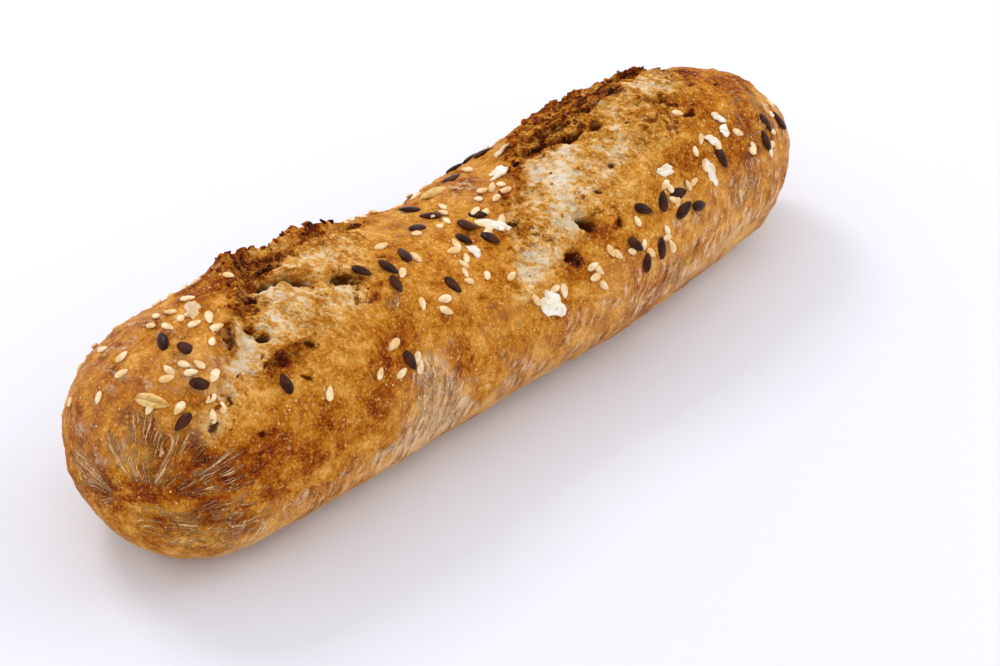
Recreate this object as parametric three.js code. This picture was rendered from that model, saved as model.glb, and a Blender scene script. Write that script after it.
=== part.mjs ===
// A short seeded baguette: one baked loaf, burst open along two slanting scores on its back,
// with linseeds, oat flakes and whole grains stuck to its crust.
// Millimetres. +X runs along the loaf, +Z is up, and the origin is under the middle of its sole.
// A place on the crust is given by x and by its turn round the loaf: 0 on top, 90 at the front (-Y), 180 under it.
import * as THREE from "three";
import { mergeVertices } from "three/addons/utils/BufferGeometryUtils.js";

const radians = THREE.MathUtils.degToRad;
const { clamp, smoothstep } = THREE.MathUtils;

// The loaf.
const loafLength = 210;
const beltHeight = 21; // height of the widest line above the sole
const soleDrop = 1.12; // how far the underside would bulge past the flat sole, in belt heights
const bellyBluntness = 0.85; // 1 is a round underside, less is squarer
const endRadius = 27; // length of each rounded end
const endBluntness = 2.3; // 2 is a round end, more is squarer
const arcRadius = 28; // turns a turn round the loaf into millimetres of crust

const stationStep = 26;
const stations = [
  // half width and height of the crust, every stationStep from the near end
  { halfWidth: 26.5, height: 47.5 },
  { halfWidth: 28, height: 49.5 },
  { halfWidth: 29, height: 50 },
  { halfWidth: 28.5, height: 46.5 },
  { halfWidth: 28.5, height: 40.5 },
  { halfWidth: 29, height: 43.5 },
  { halfWidth: 26.5, height: 48.5 },
  { halfWidth: 22.5, height: 45 },
  { halfWidth: 18.5, height: 38 },
];

// The two scores that burst open in the oven. Each runs from its front tip up and over to the back.
const bursts = [
  { x: -57, turn: 7, slant: 30, length: 86, width: 27, depth: 3.6, ear: 3.6 },
  { x: 35, turn: 12, slant: 27, length: 98, width: 32, depth: 3.4, ear: 4 },
];
const crumbSwell = 0.9; // how far the burst crumb stands up in the middle
const crumbStep = 0.8; // how far the crumb lies below the crust at its far lip

// How finely the crust is faceted.
const facetsAround = 56;
const facetsAlong = 52;
const facetsPerEnd = 11;
const topFinerBy = 0.35; // facets are narrower on top, where the scores are, and wider under the loaf

// What is stuck on the crust, with its length, width and thickness.
const linseedSize = [4.8, 2.4, 1.2];
const grainSize = [7.6, 3.2, 2.2];
const seatGap = 0.3; // clearance between a seed and the crust

// [x, turn, heading]: heading is the angle of the seed's length from +X towards the front, in degrees.
const linseeds = [
  [-84, 0, 120], [-81.5, 12, 25], [-85, 26, 30], [-68.5, 46, 95], [-90.5, 40, -17],
  [-37, 16, 62], [-31.5, 20, 60], [-32.5, 28.5, 100], [-24.5, 15.5, 105], [-13.5, -1, 0],
  [-7.5, -20, 18], [-5.5, -10, 20], [-39.5, 61, 80], [-19, 37.5, 60], [3, 3, 62],
  [-2, 7, 80], [-0.5, 19, 78], [-6, 14, 78], [11, -33, 40], [18, -50, 10],
  [23.5, -51, 10], [24, -40, 15], [36, 51, 48], [42.5, 55, 130], [48, 57, 15],
  [48, 66, -15], [53, 69, 20], [29.5, 63, 60], [31, 75, 120], [37.5, 75, 110],
  [65.5, 54, 85], [83.5, 58.5, 85], [86.5, 48, 70], [94, 51, 80],
  [-66, -78, 30], [-44, -92, 110], [-9, -71, 160], [34, -84, 40], [58, -70, 85], [76, -98, 15],
];

// [x, turn, heading, length, width]
const oatFlakes = [
  [15.5, -13, 55, 7.2, 3.4], [3, 13, 58, 6.2, 2.4], [23, -24, 30, 4.2, 2.6], [-6.5, 22, 75, 3, 2.4],
  [2.5, 66.5, 75, 5.5, 4.6], [71, 34, 60, 3.2, 1.8], [70, 42, 15, 2.8, 2.6], [65, 43.5, 40, 3.8, 2.2],
  [60, 58, 80, 5.6, 2], [-73, -1.5, 40, 4.3, 4.1], [47, 43.5, 20, 3.6, 2.2],
];
const flakeThickness = 0.9;

// [x, turn, heading]
const grains = [[-93.5, 21, 58], [-93, -81, 20], [3.5, -29, 0]];

// A smooth value between stations, by a Catmull-Rom spline on even steps.
function along(key, x) {
  const last = stations.length - 1;
  const place = clamp(x / stationStep + last / 2, 0, last);
  const i = Math.min(Math.floor(place), last - 1);
  const t = place - i;
  const [a, b, c, d] = [i - 1, i, i + 1, i + 2].map((k) => stations[clamp(k, 0, last)][key]);
  const bend = (2 * a - 5 * b + 4 * c - d) * t * t + (3 * b - a - 3 * c + d) * t * t * t;
  return b + 0.5 * ((c - a) * t + bend);
}

// How far a burst lifts or sinks the crust at a place, turn in radians.
function burstLift(burst, x, turn) {
  const dx = x - burst.x;
  const arc = (turn - radians(burst.turn)) * arcRadius;
  const slant = radians(burst.slant);
  const p = (dx * Math.cos(slant) - arc * Math.sin(slant)) / (burst.length / 2);
  if (Math.abs(p) >= 1) return 0;
  const open = Math.sqrt(1 - p * p);
  const q = (dx * Math.sin(slant) + arc * Math.cos(slant)) / ((burst.width / 2) * open);
  const hill = (middle, spread) => Math.exp(-(((q - middle) / spread) ** 2));
  const earRise = burst.ear * (0.3 + 0.7 * smoothstep(p, -0.8, 0));
  const inside = smoothstep(q, -1, -0.75) * (1 - smoothstep(q, 0.85, 1.05));
  const crumb = crumbSwell * hill(0.3, 0.5) - burst.depth * hill(-0.5, 0.32) - crumbStep * smoothstep(q, 0.5, 0.85);
  return open * (earRise * hill(-1.05, 0.27) + inside * crumb);
}

// A point of the crust. The share is 1 along the loaf and falls to 0 at the tip of each end.
function crust(x, turn, share) {
  const lift = bursts.reduce((sum, burst) => sum + burstLift(burst, x, turn), 0);
  const up = Math.cos(turn);
  const side = (along("halfWidth", x) + lift) * share;
  const top = (along("height", x) - beltHeight + lift) * share * up;
  const bottom = -beltHeight * soleDrop * share * Math.pow(Math.max(-up, 0), bellyBluntness);
  return new THREE.Vector3(x, -side * Math.sin(turn), Math.max(beltHeight + (up > 0 ? top : bottom), 0));
}

// The share left at x, which rounds both ends.
function endShare(x) {
  const into = Math.max(Math.abs(x) - (loafLength / 2 - endRadius), 0) / endRadius;
  return Math.pow(Math.max(1 - Math.pow(into, endBluntness), 0), 1 / endBluntness);
}

// One closed skin: shared corners, and none of the empty triangles a pole leaves behind.
function closed(geometry) {
  geometry.deleteAttribute("normal");
  geometry.deleteAttribute("uv");
  const merged = mergeVertices(geometry, 1e-3);
  const corners = Array.from(merged.index.array);
  const kept = [];
  for (let i = 0; i < corners.length; i += 3) {
    const [a, b, c] = corners.slice(i, i + 3);
    if (a !== b && b !== c && c !== a) kept.push(a, b, c);
  }
  merged.setIndex(kept);
  return merged;
}

function loafGeometry() {
  const straight = loafLength - 2 * endRadius;
  const blank = new THREE.CapsuleGeometry(endRadius, straight, facetsPerEnd, facetsAround, facetsAlong);
  const geometry = closed(blank);
  const at = geometry.getAttribute("position");
  for (let i = 0; i < at.count; i++) {
    const [across, x, up] = [at.getX(i), at.getY(i), at.getZ(i)];
    const angle = Math.atan2(across, up);
    const p = crust(x, angle - topFinerBy * Math.sin(angle), endShare(x));
    at.setXYZ(i, p.x, p.y, p.z);
  }
  return geometry;
}

// A seed lying along X: a drop, round at one end and pointed at the other, then flattened.
function seedGeometry([length, width, thickness], { steps = 6, sides = 7, point = 0.75 } = {}) {
  const profile = [];
  for (let i = 0; i <= steps; i++) {
    const t = i / steps;
    const radius = Math.pow(Math.sin(Math.PI * Math.pow(t, point)), 0.8) / 2;
    profile.push(new THREE.Vector2(i % steps === 0 ? 0 : radius, t - 0.5));
  }
  const seed = new THREE.LatheGeometry(profile, sides);
  seed.rotateZ(Math.PI / 2);
  seed.scale(length, width, thickness);
  return closed(seed);
}

// A rolled flake lying flat: a thin disc with a wavy rim.
function flakeGeometry(length, width, seedNumber) {
  const points = [];
  const sides = 12;
  for (let i = 0; i < sides; i++) {
    const angle = (i / sides) * 2 * Math.PI;
    const wave = 1 + 0.1 * Math.sin(3 * angle + seedNumber) + 0.07 * Math.sin(5 * angle + 2 * seedNumber);
    points.push(new THREE.Vector2((Math.cos(angle) * wave * length) / 2, (Math.sin(angle) * wave * width) / 2));
  }
  const outline = new THREE.Shape(points);
  const flake = new THREE.ExtrudeGeometry(outline, { depth: flakeThickness, bevelEnabled: false });
  flake.translate(0, 0, -flakeThickness / 2);
  return closed(flake);
}

function finish(colour, roughness) {
  return new THREE.MeshStandardMaterial({ color: colour, roughness, metalness: 0 });
}

const loaf = new THREE.Mesh(loafGeometry(), finish(0xb8742c, 0.75));
loaf.name = "loaf";
loaf.updateMatrixWorld(true);

// The crust's outward direction at a place, from two small steps across it.
function outward(x, turn) {
  const step = 0.5;
  const share = endShare(x);
  const lengthwise = crust(x + step, turn, endShare(x + step)).sub(crust(x - step, turn, endShare(x - step)));
  const crosswise = crust(x, turn + step / arcRadius, share).sub(crust(x, turn - step / arcRadius, share));
  return { lengthwise, normal: lengthwise.clone().cross(crosswise).negate().normalize() };
}

// Turns a piece to lie on the crust at a place, then lifts it until its lowest point clears the crust.
function settle(piece, x, turnDegrees, heading) {
  const turn = radians(turnDegrees);
  const { lengthwise, normal } = outward(x, turn);
  const ahead = lengthwise.normalize().applyAxisAngle(normal, -radians(heading));
  const sideways = normal.clone().cross(ahead);
  piece.quaternion.setFromRotationMatrix(new THREE.Matrix4().makeBasis(ahead, sideways, normal));
  piece.position.copy(crust(x, turn, endShare(x)));
  piece.updateMatrixWorld(true);
  const highAbove = 12;
  const ray = new THREE.Raycaster();
  const corner = new THREE.Vector3();
  const at = piece.geometry.getAttribute("position");
  let lift = -Infinity;
  for (let i = 0; i < at.count; i++) {
    corner.fromBufferAttribute(at, i).applyMatrix4(piece.matrixWorld).addScaledVector(normal, highAbove);
    ray.set(corner, normal.clone().negate());
    const [hit] = ray.intersectObject(loaf);
    if (hit) lift = Math.max(lift, highAbove - hit.distance);
  }
  piece.position.addScaledVector(normal, lift + seatGap);
}

const baguette = new THREE.Group();
baguette.add(loaf);

function add(kind, number, geometry, material, x, turn, heading) {
  const piece = new THREE.Mesh(geometry, material);
  piece.name = kind + "_" + String(number + 1).padStart(2, "0");
  settle(piece, x, turn, heading);
  baguette.add(piece);
}

const linseedFinish = finish(0x2c1813, 0.35);
linseeds.forEach(([x, turn, heading], i) => {
  add("linseed", i, seedGeometry(linseedSize), linseedFinish, x, turn, heading);
});

const flakeFinish = finish(0xf0e6d2, 0.8);
oatFlakes.forEach(([x, turn, heading, length, width], i) => {
  add("oat_flake", i, flakeGeometry(length, width, i), flakeFinish, x, turn, heading);
});

const grainFinish = finish(0xd9b06a, 0.6);
grains.forEach(([x, turn, heading], i) => {
  add("grain", i, seedGeometry(grainSize, { point: 0.9 }), grainFinish, x, turn, heading);
});

export default baguette;
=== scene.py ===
# Looks of a seeded demi-baguette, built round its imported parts. Shapes are worked out in millimetres.
import math
import random

import bmesh
import bpy
import numpy as np
from mathutils import Matrix, Vector, noise
from mathutils.bvhtree import BVHTree


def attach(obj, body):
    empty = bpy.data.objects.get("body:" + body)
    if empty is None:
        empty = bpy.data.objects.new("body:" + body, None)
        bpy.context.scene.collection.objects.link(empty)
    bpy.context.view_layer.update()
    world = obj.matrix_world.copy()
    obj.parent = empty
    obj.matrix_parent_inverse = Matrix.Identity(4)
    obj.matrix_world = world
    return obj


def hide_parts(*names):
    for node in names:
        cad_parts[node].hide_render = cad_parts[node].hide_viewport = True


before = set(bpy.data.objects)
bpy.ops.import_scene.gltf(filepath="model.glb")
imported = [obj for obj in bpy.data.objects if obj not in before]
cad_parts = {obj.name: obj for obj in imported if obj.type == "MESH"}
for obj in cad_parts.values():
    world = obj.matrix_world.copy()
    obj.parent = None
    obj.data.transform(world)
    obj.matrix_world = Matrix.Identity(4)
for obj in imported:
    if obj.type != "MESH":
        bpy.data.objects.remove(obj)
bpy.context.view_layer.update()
print("frame loaded:", len(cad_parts), "nodes")

mm = 0.001
crustRadius = 28  # typical, used to measure round the loaf
arcPerDegree = crustRadius * math.pi / 180


def smooth(low, high, value):
    t = np.clip((value - low) / (high - low), 0, 1)
    return t * t * (3 - 2 * t)


def hill(value, middle, spread):
    return np.exp(-(((value - middle) / spread) ** 2))


def cloud(points, size, octaves=3, seed=0):
    # soft noise of about -1 to 1, in patches of the given size
    moved = points / size + seed * 17.31
    return np.array([noise.fractal(p, 1.0, 2.0, octaves) for p in moved.tolist()])


def crags(points, size, octaves=3, seed=0):
    # creased noise of about 0 to 1, with sharp valleys
    moved = points / size + seed * 23.7
    return np.array([noise.turbulence(p, octaves, True) for p in moved.tolist()]) / 1.4


loafShape = {
    "length": 210,
    "beltHeight": 21,  # of its widest line
    "soleDrop": 1.12,
    "bellyBluntness": 0.85,
    "endRadius": 27,
    "endBluntness": 2.3,
    "stationStep": 26,
    "halfWidth": [26.5, 28, 29, 28.5, 28.5, 29, 26.5, 22.5, 18.5],
    "height": [47.5, 49.5, 50, 46.5, 40.5, 43.5, 48.5, 45, 38],
    "facetsAround": 272,
    "facetsAlong": 362,
    "topFinerBy": 0.42,
    "endArc": 44,  # length of crust from an end's shoulder to its tip
    "swells": 0.9,
    "lumps": 0.75,
    "soleLumps": 0.35,
    # hollows and swellings of the skin: x, turn, radius, height
    "dents": [
        (-103, 92, 14, -1.0), (-86, 100, 12, -0.8), (-96, 62, 5, -0.8), (-34, 95, 14, -0.7),
        (99, 20, 9, -0.6), (-82, 60, 6, 0.5), (-45, 62, 10, 0.5), (30, 82, 12, 0.4), (84, 30, 7, 0.5),
        (60, -70, 14, -0.6), (-20, -85, 16, -0.7), (-80, -80, 12, 0.5), (10, 105, 9, -0.6),
    ],
}


def alongLoaf(values, x):
    v = np.array(values, float)
    last = len(v) - 1
    place = np.clip(x / loafShape["stationStep"] + last / 2, 0, last)
    i = np.minimum(place.astype(int), last - 1)
    t = place - i
    a, b, c, d = (v[np.clip(i + k, 0, last)] for k in (-1, 0, 1, 2))
    bend = (2 * a - 5 * b + 4 * c - d) * t**2 + (3 * b - a - 3 * c + d) * t**3
    return b + 0.5 * ((c - a) * t + bend)


straightHalf = loafShape["length"] / 2 - loafShape["endRadius"]  # from the middle to where an end rounds off


def endShare(x):
    # how much of its full section the loaf still has at a place along it
    into = np.clip((np.abs(x) - straightHalf) / loafShape["endRadius"], 0, 1)
    return (1 - into ** loafShape["endBluntness"]) ** (1 / loafShape["endBluntness"])


def coreAt(x):
    # the point on the loaf's inner line that the crust at a place faces away from
    return Vector((np.clip(x, -straightHalf, straightHalf), 0, loafShape["beltHeight"]))


def bodyPoint(x, turn, share):
    # turn in radians: 0 on top, positive to the front
    up = np.cos(turn)
    belt = loafShape["beltHeight"]
    side = alongLoaf(loafShape["halfWidth"], x) * share
    top = (alongLoaf(loafShape["height"], x) - belt) * share * up
    under = -belt * loafShape["soleDrop"] * share * np.maximum(-up, 0) ** loafShape["bellyBluntness"]
    z = belt + np.where(up > 0, top, under)
    return np.stack([x, -side * np.sin(turn), np.maximum(z, 0)], axis=-1)


def surfaceAt(x, turnDegrees):
    # a place on the plain body in metres, with the directions along the loaf and out of the crust
    turn = np.array([math.radians(turnDegrees)])
    xs = np.array([float(x)])
    share = endShare(xs)
    step = 0.5
    swing = 0.02  # radians
    p = bodyPoint(xs, turn, share)[0]
    before, after = (bodyPoint(xs + d, turn, endShare(xs + d)) for d in (-step, step))
    ahead = (after - before)[0]
    across = (bodyPoint(xs, turn + swing, share) - bodyPoint(xs, turn - swing, share))[0]
    out = Vector(np.cross(across, ahead)).normalized()
    if out.dot(Vector(p) - coreAt(x)) < 0:
        out.negate()
    return Vector(p) * mm, Vector(ahead).normalized(), out


# A burst runs from tip to tip, each an (x, turn). Its edges are how far they lie from that line, in
# millimetres along it: the ear is the torn lip at the back, the lip is where the crumb meets the crust.
bursts = [
    {   # the near one
        "start": (-90, 52), "end": (-18, -22),
        "earAt": [0, 9, 18, 25, 33, 43, 52, 60, 68, 75, 80],
        "earOff": [-1.6, -4, -6, -8, -11, -17, -21, -19, -14, -7, 0],
        "lipAt": [0, 5, 15, 22, 30, 38, 46, 53, 62, 73, 80],
        "lipOff": [1.4, 2.8, 3.4, 6.7, 8.6, 12, 13.4, 12.6, 8.7, 3.5, 0],
        "heightAt": [0, 20, 27, 34, 40, 48, 58, 62, 64, 70, 76, 80],
        "heights": [0, 0.1, 0.4, 0.8, 1.0, 1.2, 1.0, 0.5, 0.5, 1.0, 0.6, 0],
        "ear": 3.0, "trough": 2.4, "swell": 1.2, "seed": 1,
    },
    {   # the far one
        "start": (-7, 62), "end": (75, -5),
        "earAt": [0, 2, 11, 19, 26, 32, 40, 45, 56, 66, 79, 83, 88],
        "earOff": [-0.5, -2.8, -9.7, -14.6, -18, -18, -22.5, -25, -27, -26, -17, -10, 0],
        "lipAt": [0, 6, 15, 22, 30, 38, 53, 69, 82, 88],
        "lipOff": [0.5, 2.6, 2.4, 1.5, 1.3, 3.7, 6.9, 8, 6.5, 0],
        "heightAt": [0, 10, 22, 28, 36, 46, 58, 66, 76, 85, 88],
        "heights": [0, 0.1, 0.2, 0.45, 0.8, 0.85, 0.6, 0.6, 1.1, 1.1, 0],
        "ear": 1.9, "trough": 0.9, "swell": 1.5, "seed": 2,
    },
]

# x, turn, long radius, short radius, depth, heading from +X towards the front in degrees
holes = [
    (-66.5, 23, 1.6, 1.0, 2.6, 42), (-68, 17, 1.0, 0.7, 1.1, 60), (-62.8, 5, 1.5, 0.8, 1.5, 40),
    (-59, 36, 1.7, 0.8, 1.6, 30), (-44.5, -22, 3.2, 2.4, 3.2, 60), (-53, -15, 4.0, 1.6, 2.6, 10),
    (-63.3, 48, 2.2, 0.6, 0.5, 40), (-40.5, 17, 3.0, 0.9, 1.7, 42), (-86.8, 47, 1.5, 0.8, 1.0, 150),
    (-81, 41, 1.2, 0.7, 1.0, 120), (-23, -24, 3.0, 1.0, 1.6, 10), (-78, 60, 1.0, 0.7, 1.0, 0),
    (-29.5, 12, 1.4, 0.9, 1.2, 20), (21.3, 38.5, 3.0, 1.5, 3.4, 50), (13.3, 49, 1.1, 1.3, 1.4, 0),
    (14, 54.5, 1.0, 0.8, 1.2, 0), (33, -3, 3.0, 1.4, 3.0, 40), (28, -10, 2.6, 1.4, 2.0, 30),
    (37, -12, 2.4, 1.1, 1.8, 20), (43, -10, 2.6, 1.0, 1.6, 20), (41, 3, 1.7, 1.0, 2.0, 100),
    (36, 0, 2.4, 0.9, 1.6, 0), (51, -8, 2.0, 0.8, 1.2, 20), (62, 15, 1.4, 0.5, 0.7, 30),
    (64, 24, 2.2, 0.7, 1.2, 10), (69, -6, 1.6, 0.8, 1.1, 30), (73, 5, 1.1, 0.7, 0.9, 0),
    (80, 12, 1.0, 0.7, 0.9, 0), (29, 49, 1.5, 0.9, 1.5, 100), (36, 24, 1.0, 0.6, 0.9, 0),
    (29, 30, 1.2, 0.5, 1.0, 40), (7.5, 17, 1.1, 0.8, 1.2, 0), (47, 12, 0.9, 0.6, 0.9, 0),
]

# Flaps torn up inside a burst: the line each follows as (x, turn), its height, the crack on its right
# as one goes along it, and its width.
tears = [
    {"line": [(-61, -9), (-56, -5), (-51, 3), (-46, 11)], "height": 1.8, "crack": 2.6, "reach": 1.7},
    {"line": [(-70, 9), (-72.5, 16), (-75, 25)], "height": 1.7, "crack": 1.4, "reach": 1.2},
    {"line": [(-72, 38), (-68.5, 34), (-63, 34.5), (-59, 39)], "height": 1.4, "crack": 1.1, "reach": 1.5},
    {"line": [(-46, 11), (-41, 12), (-37, 16)], "height": 1.1, "crack": 1.4, "reach": 1.4},
    {"line": [(25, 44), (17, 46), (8, 52)], "height": 0.9, "crack": 0.9, "reach": 1.6},
    {"line": [(28, -16), (36, -18), (44, -17)], "height": 1.3, "crack": 1.3, "reach": 1.5},
    {"line": [(44, -22), (54, -17), (64, -12)], "height": 0.9, "crack": 0.8, "reach": 1.5},
    {"line": [(50, 4), (57, 6), (64, 13)], "height": 0.8, "crack": 1.0, "reach": 1.1},
]

# Fine folds of the skin. A fan's strands leave its middle between two angles, from +X towards the front;
# bands run across that angle; rings go round.
folds = [
    {"kind": "fan", "at": (-101, 72), "angles": (-125, -30), "reach": (5, 20), "strands": 17},
    {"kind": "fan", "at": (-99, 72), "angles": (-26, 12), "reach": (5, 19), "strands": 9},
    {"kind": "fan", "at": (-103.8, 70), "angles": (-200, -130), "reach": (4, 18), "strands": 12},
    {"kind": "fan", "at": (-101, 90), "angles": (-14, 40), "reach": (5, 22), "strands": 11},
    {"kind": "bands", "at": (-96, 103), "angle": 76, "reach": (16, 10), "spacing": 2.2, "strength": 1.3},
    {"kind": "bands", "at": (-84, 98), "angle": 84, "reach": (8, 4), "spacing": 1.6, "strength": 0.7},
    {"kind": "bands", "at": (-34, 88), "angle": 6, "reach": (8, 17), "spacing": 1.5, "strength": 0.9},
    {"kind": "bands", "at": (-36, 33), "angle": 42, "reach": (4, 5), "spacing": 1.1, "strength": 0.4},
    {"kind": "rings", "at": (82, 42), "reach": (1.5, 12), "spacing": 2.4, "strength": 0.4},
    {"kind": "bands", "at": (70, 76), "angle": 12, "reach": (7, 7), "spacing": 2.4, "strength": 0.6},
    {"kind": "bands", "at": (40, 96), "angle": 62, "reach": (14, 5), "spacing": 2.0, "strength": 0.5},
    {"kind": "bands", "at": (98, -84), "angle": 70, "reach": (9, 7), "spacing": 1.4, "strength": 0.4},
    {"kind": "bands", "at": (20, -95), "angle": 10, "reach": (9, 12), "spacing": 1.5, "strength": 0.4},
    {"kind": "bands", "at": (-60, -100), "angle": 70, "reach": (12, 5), "spacing": 1.5, "strength": 0.4},
]

# Where the crust or the crumb differs, some with painted shade, sheen or bounce light: x, turn, radius
# along, radius round, strength
zones = {
    "caramel": [
        (-94, 68, 13, 11, 0.85), (-80, 68, 9, 5, 0.5), (-95, 50, 7, 5, 0.5), (-86, 58, 6, 4, 0.5),
        (-92, 88, 14, 8, 0.5), (-41, 48, 6, 4, 0.4), (-46, 60, 9, 5, 0.5), (-66, 40, 7, 2.5, 0.5),
        (-38, 66, 7, 5, 0.3), (-62, 72, 14, 8, 0.35), (76, 52, 8, 9, 0.55), (82, 8, 12, 12, 0.5),
        (66, 30, 8, 6, 0.3), (8, 22, 7, 10, 0.3), (14, 58, 5, 4, 0.6), (-66, -25, 8, 8, 0.6),
        (24, 50, 5, 2.5, 0.5), (-76, -60, 12, 8, 0.4), (40, -75, 20, 8, 0.4), (4, -60, 14, 8, 0.3),
        (-84, 100, 7, 4, 0.5), (-99, -8, 14, 22, 0.5), (-88, -40, 16, 14, 0.35), (38, 100, 18, 8, 0.4),
    ],
    "toasted": [
        (30, -14, 9, 6, 1.0), (46, -21, 15, 9, 1.15), (57, -23, 10, 6, 0.85), (40, -6, 9, 5, 0.55),
        (66, 2, 9, 7, 0.35), (56, 22, 12, 7, 0.5), (44, 44, 12, 6, 0.3), (-52, -22, 12, 7, 1.0),
        (-65, 5, 4, 5, 0.8), (-67, 37, 5, 2, 0.9), (-40, 24, 4, 4, 0.7), (-58, -10, 8, 3, 0.7),
        (8, 28, 4, 6, 0.5), (24, 42, 8, 3, 0.5), (-34, -12, 7, 6, 0.35), (-74, 16, 2, 5, 0.5),
        (64, 12, 7, 3, 0.4), (10, 34, 2.5, 6, 0.5), (-60, 36, 4, 2, 0.6), (74, -4, 5, 6, 0.35),
    ],
    # scorched spots; those laid on the holes darken them as painted shade
    "charAndShade": [
        (33, -3, 3, 1.6, 0.9), (28, -10, 3, 2.2, 0.8), (37, -12, 3.2, 1.6, 0.9), (43, -10, 3, 1.6, 0.8),
        (41, 3, 1.6, 1.4, 0.8), (36, 0, 3, 1.2, 0.6), (51, -8, 3.2, 1.4, 0.9), (59, 10, 2.6, 0.7, 0.7),
        (62, 15, 1.8, 0.8, 0.7), (64, 24, 2.4, 1, 0.7), (69, -6, 1.8, 1.1, 0.8), (73, 5, 1.3, 0.9, 0.6),
        (74, -6, 2.6, 1.2, 0.6), (46, -38, 10, 3, 0.45), (66, -24, 4, 2, 0.6), (80, 12, 1.2, 1, 0.7),
        (-44, -23, 4, 3, 1.0), (-53, -16, 5, 2.2, 0.7), (-50, -30, 8, 3, 0.8), (-62.8, 5, 1.8, 1.2, 0.8),
        (-62, -2, 2, 1.4, 0.7), (-68, 17, 1.7, 1.2, 0.8), (-66, 37.5, 1.5, 1.0, 0.9),
        (-38.8, 29, 1.8, 1.2, 0.5), (-36, 25, 1.4, 1.0, 0.5), (-23, -24, 3.4, 1.4, 0.9),
        (-33, -30, 3, 2, 0.8), (13.5, 52, 1.8, 3, 0.8), (38, 6, 1, 1, 0.4), (-79, 68, 3, 1.6, 0.4),
        (28, 49, 2, 1.4, 0.6), (-92, 58, 3, 1.4, 0.4), (-97, 33, 1.6, 3, 0.3),
    ],
    "pale": [
        (-59, 3, 5, 5, 0.75), (-55, 14, 5, 4, 0.5), (-42.5, 24, 3.8, 3.6, 0.9), (-70.5, 22, 3, 5, 0.7),
        (-74, 33, 4.5, 3, 0.75), (-79, 39, 4.5, 3, 0.6), (-45, -8, 7, 3, 0.3), (-38, 2, 5, 4, 0.3),
        (-62, 24, 4, 4, 0.5), (-50, 28, 5, 4, 0.3), (-64, 16, 3, 3, 0.6), (-87, 44, 3.5, 3.5, 0.9),
        (-90, 50, 2.5, 3.5, 0.9), (23.5, 12, 5, 9, 1.15), (29, 6, 5, 4, 0.8), (18.5, 32, 4, 6, 0.9),
        (8, 42, 6, 6, 0.95), (1, 48, 5, 5, 0.8), (60, 1, 4, 4.4, 1.0), (66, 3, 4, 2.4, 0.8),
        (62, -10, 6, 4, 0.5), (33, 24, 3, 2, 0.6), (40, 16, 9, 6, 0.3), (70, -12, 8, 5, 0.3),
        (-3, 54, 4, 4, 0.6), (14, 40, 5, 5, 0.6),
    ],
    # painted shade: greyer crumb in the pockets
    "greyShade": [
        (-42.5, 24, 3.8, 3.8, 1.0), (-71, 22, 3, 5, 0.9), (18.5, 33, 4, 5, 0.9), (24, 0, 4, 3, 0.6),
        (2, 44, 3, 5, 0.6), (-61, 0, 3, 3, 0.4), (-88, 46, 3, 4, 0.9), (10, 40, 4, 5, 0.5),
        (-83, 36, 3, 3, 0.5),
    ],
    # pinkish tan, partly a painted sheen on the near end and flanks
    "blushAndSheen": [
        (-98, -5, 14, 22, 0.45), (-88, -45, 18, 18, 0.6), (-82, 14, 12, 12, 0.25), (10, -14, 10, 10, 0.5),
        (-36, 88, 10, 14, 0.6), (40, 92, 56, 9, 0.7), (66, 78, 30, 9, 0.65), (97, 60, 9, 20, 0.8),
        (24, 72, 12, 6, 0.4), (-60, 106, 34, 6, 0.6), (0, -100, 90, 14, 0.8), (12, 28, 3, 4, 0.2),
    ],
    # flour, and on the low flank painted light bounced from the floor
    "flourAndBounce": [
        (-33, 90, 8, 15, 0.6), (-36, 104, 16, 7, 0.8), (-20, 112, 50, 6, 0.5), (60, 104, 40, 6, 0.5),
        (-84, 22, 8, 8, 0.35), (-101.5, 30, 3, 4, 0.4), (-91, 64, 4, 1.6, 0.35), (-85, 84, 4, 2, 0.35),
        (-12, 62, 10, 6, 0.25), (72, 76, 5, 4, 0.4), (-14, -4, 14, 8, 0.3), (90, 30, 6, 8, 0.3),
        (0, -110, 80, 8, 0.6),
    ],
}


def burstFrame(burst):
    (x0, t0), (x1, t1) = burst["start"], burst["end"]
    way = np.array([x1 - x0, (t1 - t0) * arcPerDegree])
    length = np.linalg.norm(way)
    return x0, t0 * arcPerDegree, way / length, length


def lineDistance(x, arc, line):
    # distance to a line of (x, turn) points, which side it is on, and how far along it is from 0 to 1
    best = np.full(x.shape, 1e9)
    side = np.zeros(x.shape)
    place = np.zeros(x.shape)
    points = [(a, b * arcPerDegree) for a, b in line]
    for k, ((ax, ay), (bx, by)) in enumerate(zip(points, points[1:])):
        dx, dy = bx - ax, by - ay
        t = np.clip(((x - ax) * dx + (arc - ay) * dy) / (dx * dx + dy * dy), 0, 1)
        far = np.hypot(x - ax - t * dx, arc - ay - t * dy)
        nearer = far < best
        best = np.where(nearer, far, best)
        side = np.where(nearer, np.sign((x - ax) * -dy + (arc - ay) * dx), side)
        place = np.where(nearer, (k + t) / (len(points) - 1), place)
    return best, side, place


def zoneStrength(kind, x, arc, wobble):
    most = np.zeros(x.shape)
    for zx, zt, along, around, strength in zones[kind]:
        far = np.hypot((x - zx) / along, (arc - zt * arcPerDegree) / around) + 0.4 * wobble
        most = np.maximum(most, strength * smooth(1.3, 0.5, far))
    return most


foldShape = {
    "wander": 1.1,  # how far strands stray, in strands
    "depth": 14,  # how far from the flat of a fold the crust still takes it
    "height": 0.75,
}


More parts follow.
